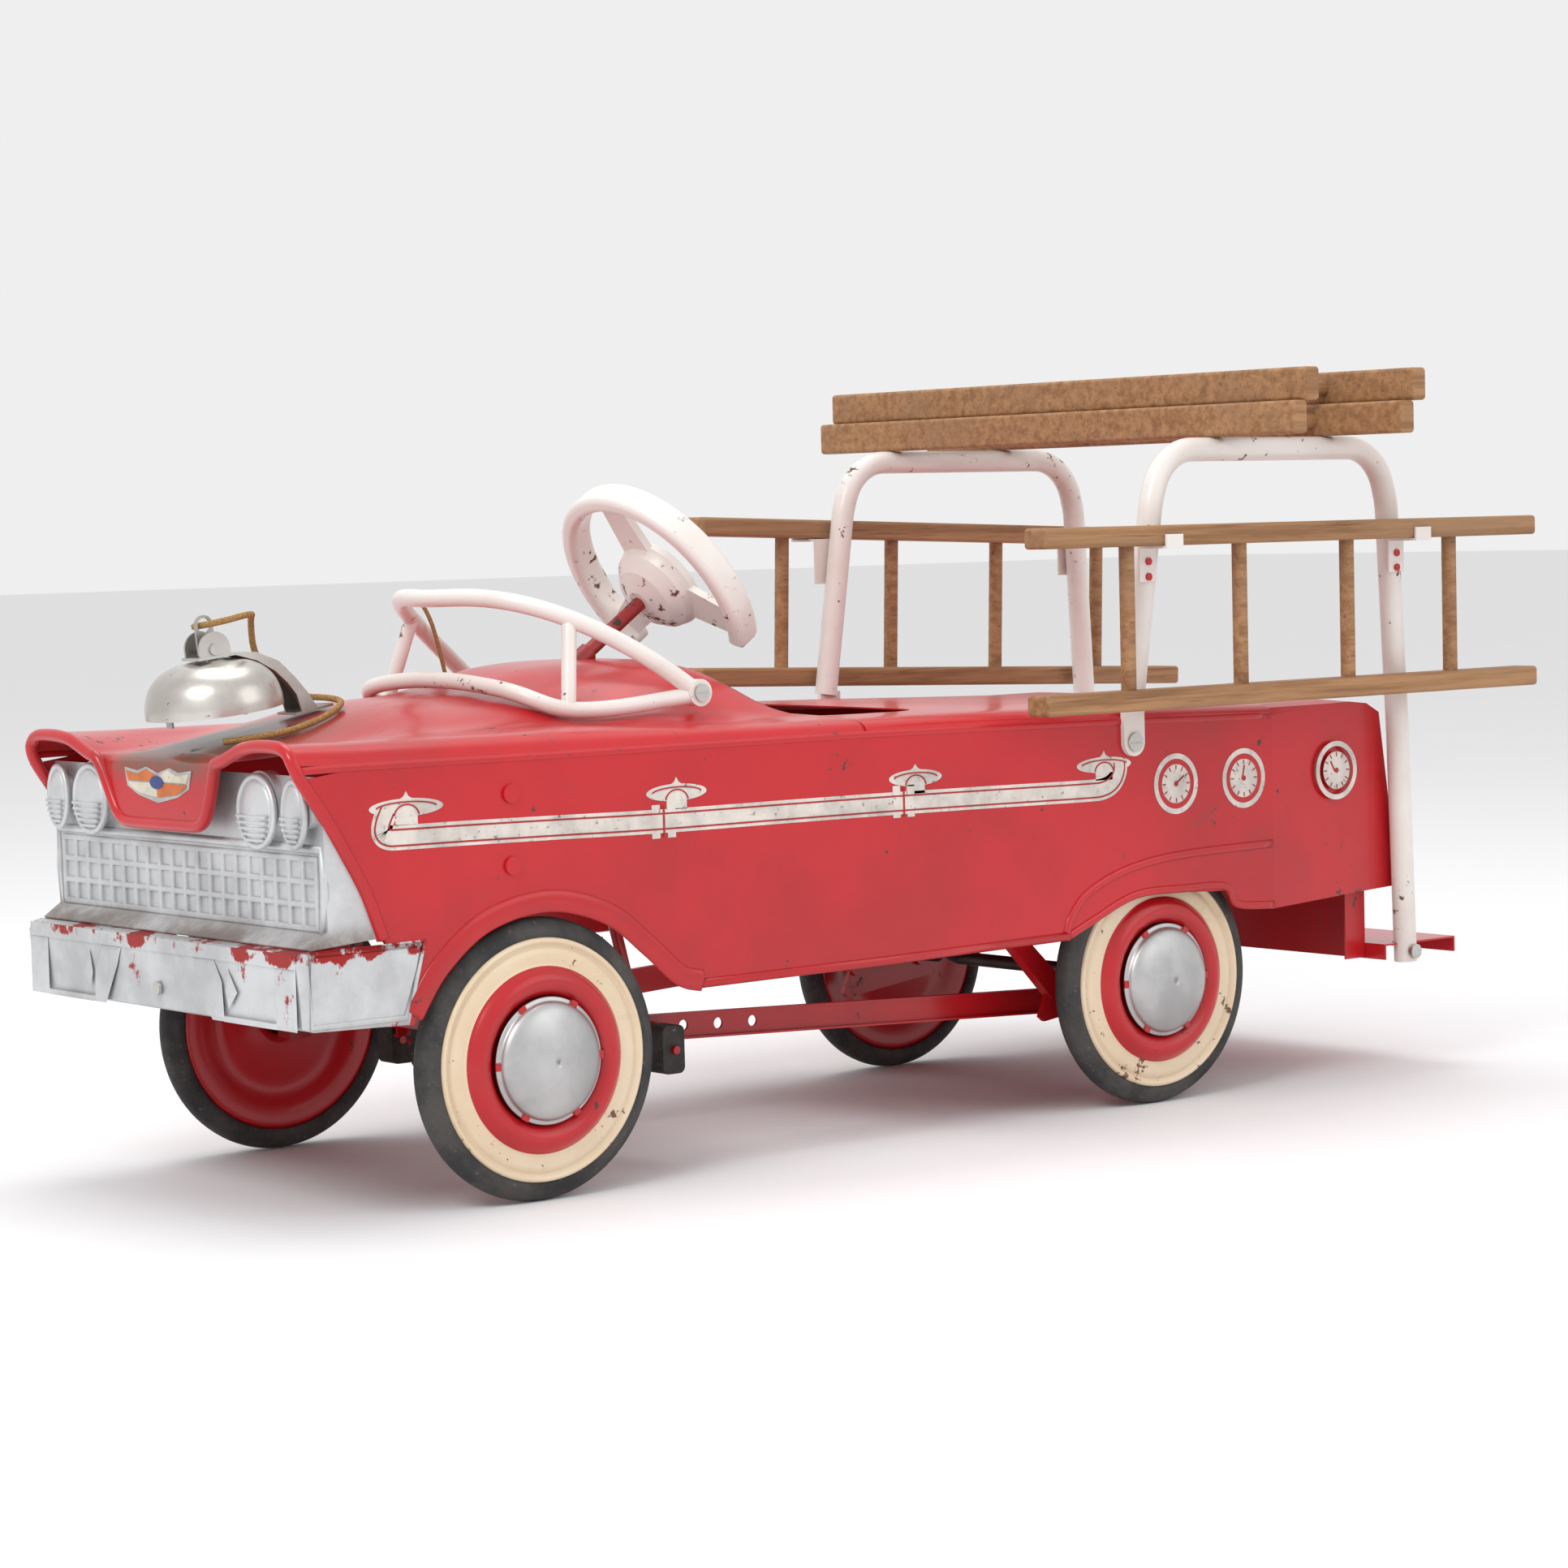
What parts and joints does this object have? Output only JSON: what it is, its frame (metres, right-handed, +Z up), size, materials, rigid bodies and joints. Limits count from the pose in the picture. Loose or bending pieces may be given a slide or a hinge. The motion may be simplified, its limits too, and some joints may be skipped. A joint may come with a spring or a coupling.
{
  "type": "pedal car",
  "caption": "Child's pedal car with a bell, wrap-round windshield frame, tube hoops and four wooden ladders, crank drive and linked steering.",
  "frame": {"origin": "middle of the bounding box, on the ground", "axes": "+Z up, the car faces -Y, the driver's left is +X"},
  "size_m": [0.564, 1.2114, 0.5817],
  "materials": {
    "red_enamel": "worn gloss",
    "silver_paint": "worn satin",
    "white_enamel": "chipped gloss",
    "plated_steel": "dull plated",
    "bell_nickel": "brushed, rust specks",
    "cord_cotton": "braided cotton",
    "crank_steel": "dark oily steel",
    "pedal_rubber": "matt",
    "tyre_rubber": "dusty",
    "wheel_cream": "satin",
    "hubcap_metal": "dull",
    "ladder_wood": "weathered"
  },
  "bodies": {
    "body": {"hood_panel": "red_enamel", "deck_panel": "red_enamel", "tail_cap": "red_enamel", "left_side_panel": "red_enamel", "right_side_panel": "red_enamel", "grille_panel": "silver_paint", "front_bumper": "silver_paint", "windshield_frame": "white_enamel", "slotted_screws": "plated_steel", "bolts": "plated_steel", "rivets": "plated_steel", "bell_dome": "bell_nickel", "bell_bracket": "plated_steel", "bell_pin": "plated_steel", "bell_cord": "cord_cotton", "tassel_cord": "cord_cotton", "left_hoop": "white_enamel", "right_hoop": "white_enamel", "ladder_hooks": "white_enamel", "column_bush": "crank_steel", "front_axle_beam": "red_enamel", "rear_axle_hangers": "red_enamel", "pedal_hanger": "red_enamel", "seat_pan": "red_enamel", "rear_apron": "red_enamel", "rear_step": "silver_paint"},
    "bell_striker": {"bell_lever": "plated_steel"},
    "steering": {"steering_column": "red_enamel", "steering_wheel": "white_enamel", "steering_nut": "plated_steel"},
    "left_spindle_body": {"left_spindle": "red_enamel"},
    "right_spindle_body": {"right_spindle": "red_enamel"},
    "tie_rod_body": {"tie_rod": "red_enamel"},
    "front_left_wheel": {"front_left_tyre": "tyre_rubber", "front_left_disc": "wheel_cream", "front_left_hubcap": "hubcap_metal"},
    "front_right_wheel": {"front_right_tyre": "tyre_rubber", "front_right_disc": "wheel_cream", "front_right_hubcap": "hubcap_metal"},
    "crank": {"rear_crank_axle": "crank_steel", "rear_left_tyre": "tyre_rubber", "rear_left_disc": "wheel_cream", "rear_left_hubcap": "hubcap_metal"},
    "rear_right_wheel": {"rear_right_tyre": "tyre_rubber", "rear_right_disc": "wheel_cream", "rear_right_hubcap": "hubcap_metal"},
    "left_strap": {"left_drive_strap": "red_enamel"},
    "right_strap": {"right_drive_strap": "red_enamel"},
    "left_arm": {"left_pedal_arm": "red_enamel"},
    "right_arm": {"right_pedal_arm": "red_enamel"},
    "left_pedal_body": {"left_pedal": "pedal_rubber"},
    "right_pedal_body": {"right_pedal": "pedal_rubber"},
    "left_ladder": {"left_ladder_rails": "ladder_wood", "left_ladder_rungs": "ladder_wood"},
    "right_ladder": {"right_ladder_rails": "ladder_wood", "right_ladder_rungs": "ladder_wood"},
    "lower_top_ladder": {"lower_top_ladder_rails": "ladder_wood", "lower_top_ladder_rungs": "ladder_wood"},
    "upper_top_ladder": {"upper_top_ladder_rails": "ladder_wood", "upper_top_ladder_rungs": "ladder_wood"}
  },
  "joints": [
    {"name": "steering_turn", "type": "hinge", "parent": "body", "child": "steering", "pos_m": [0, -0.17745, 0.4085], "axis": [0, 0.8171, 0.5764], "range_deg": [-15, 15]},
    {"name": "left_kingpin", "type": "hinge", "parent": "body", "child": "left_spindle_body", "pos_m": [0.146, -0.40415, 0.116], "axis": [0, 0, 1], "range_deg": [-18, 18]},
    {"name": "right_kingpin", "type": "hinge", "parent": "body", "child": "right_spindle_body", "pos_m": [-0.146, -0.40415, 0.116], "axis": [0, 0, 1], "range_deg": [-18, 18]},
    {"name": "tie_rod_slide", "type": "slide", "parent": "body", "child": "tie_rod_body", "axis": [1, 0, 0], "range_m": [-0.0208, 0.0208]},
    {"name": "front_left_wheel_spin", "type": "hinge", "parent": "left_spindle_body", "child": "front_left_wheel", "pos_m": [0.172, -0.40415, 0.1], "axis": [1, 0, 0], "continuous": true},
    {"name": "front_right_wheel_spin", "type": "hinge", "parent": "right_spindle_body", "child": "front_right_wheel", "pos_m": [-0.172, -0.40415, 0.1], "axis": [1, 0, 0], "continuous": true},
    {"name": "crank_spin", "type": "hinge", "parent": "body", "child": "crank", "pos_m": [0, 0.20585, 0.1], "axis": [1, 0, 0], "continuous": true},
    {"name": "rear_right_wheel_spin", "type": "hinge", "parent": "crank", "child": "rear_right_wheel", "pos_m": [-0.16, 0.20585, 0.1], "axis": [1, 0, 0], "continuous": true},
    {"name": "left_strap_on_crank", "type": "hinge", "parent": "crank", "child": "left_strap", "pos_m": [0.085, 0.25439, 0.07633], "axis": [1, 0, 0], "continuous": true},
    {"name": "right_strap_on_crank", "type": "hinge", "parent": "crank", "child": "right_strap", "pos_m": [-0.085, 0.15732, 0.12367], "axis": [1, 0, 0], "continuous": true},
    {"name": "left_arm_swing", "type": "hinge", "parent": "body", "child": "left_arm", "pos_m": [0.074, -0.28815, 0.285], "axis": [1, 0, 0], "range_deg": [-30, 2]},
    {"name": "left_pedal_turn", "type": "hinge", "parent": "left_arm", "child": "left_pedal_body", "pos_m": [0.08, -0.2364, 0.08354], "axis": [1, 0, 0], "range_deg": [-25, 25]},
    {"name": "right_arm_swing", "type": "hinge", "parent": "body", "child": "right_arm", "pos_m": [-0.074, -0.28815, 0.285], "axis": [1, 0, 0], "range_deg": [-2, 30]},
    {"name": "right_pedal_turn", "type": "hinge", "parent": "right_arm", "child": "right_pedal_body", "pos_m": [-0.08, -0.34083, 0.08378], "axis": [1, 0, 0], "range_deg": [-25, 25]},
    {"name": "bell_lever_swing", "type": "hinge", "parent": "body", "child": "bell_striker", "pos_m": [0, -0.55534, 0.3912], "axis": [1, 0, 0], "range_deg": [-4, 8]},
    {"name": "left_ladder_lift", "type": "slide", "parent": "body", "child": "left_ladder", "axis": [0, 0, 1], "range_m": [0, 0.06]},
    {"name": "right_ladder_lift", "type": "slide", "parent": "body", "child": "right_ladder", "axis": [0, 0, 1], "range_m": [0, 0.05]},
    {"name": "lower_top_ladder_lift", "type": "slide", "parent": "body", "child": "lower_top_ladder", "axis": [0, 0, 1], "range_m": [0, 0.25]},
    {"name": "upper_top_ladder_lift", "type": "slide", "parent": "lower_top_ladder", "child": "upper_top_ladder", "axis": [0, 0, 1], "range_m": [0, 0.2]}
  ],
  "couplings": [
    {"joint": "left_kingpin", "follows": "steering_turn", "ratio": 1.195},
    {"joint": "right_kingpin", "follows": "steering_turn", "ratio": 1.195},
    {"joint": "tie_rod_slide", "follows": "steering_turn", "m_per_rad": -0.0791},
    {"joint": "left_strap_on_crank", "follows": "crank_spin", "ratio": -1},
    {"joint": "right_strap_on_crank", "follows": "crank_spin", "ratio": -1}
  ]
}
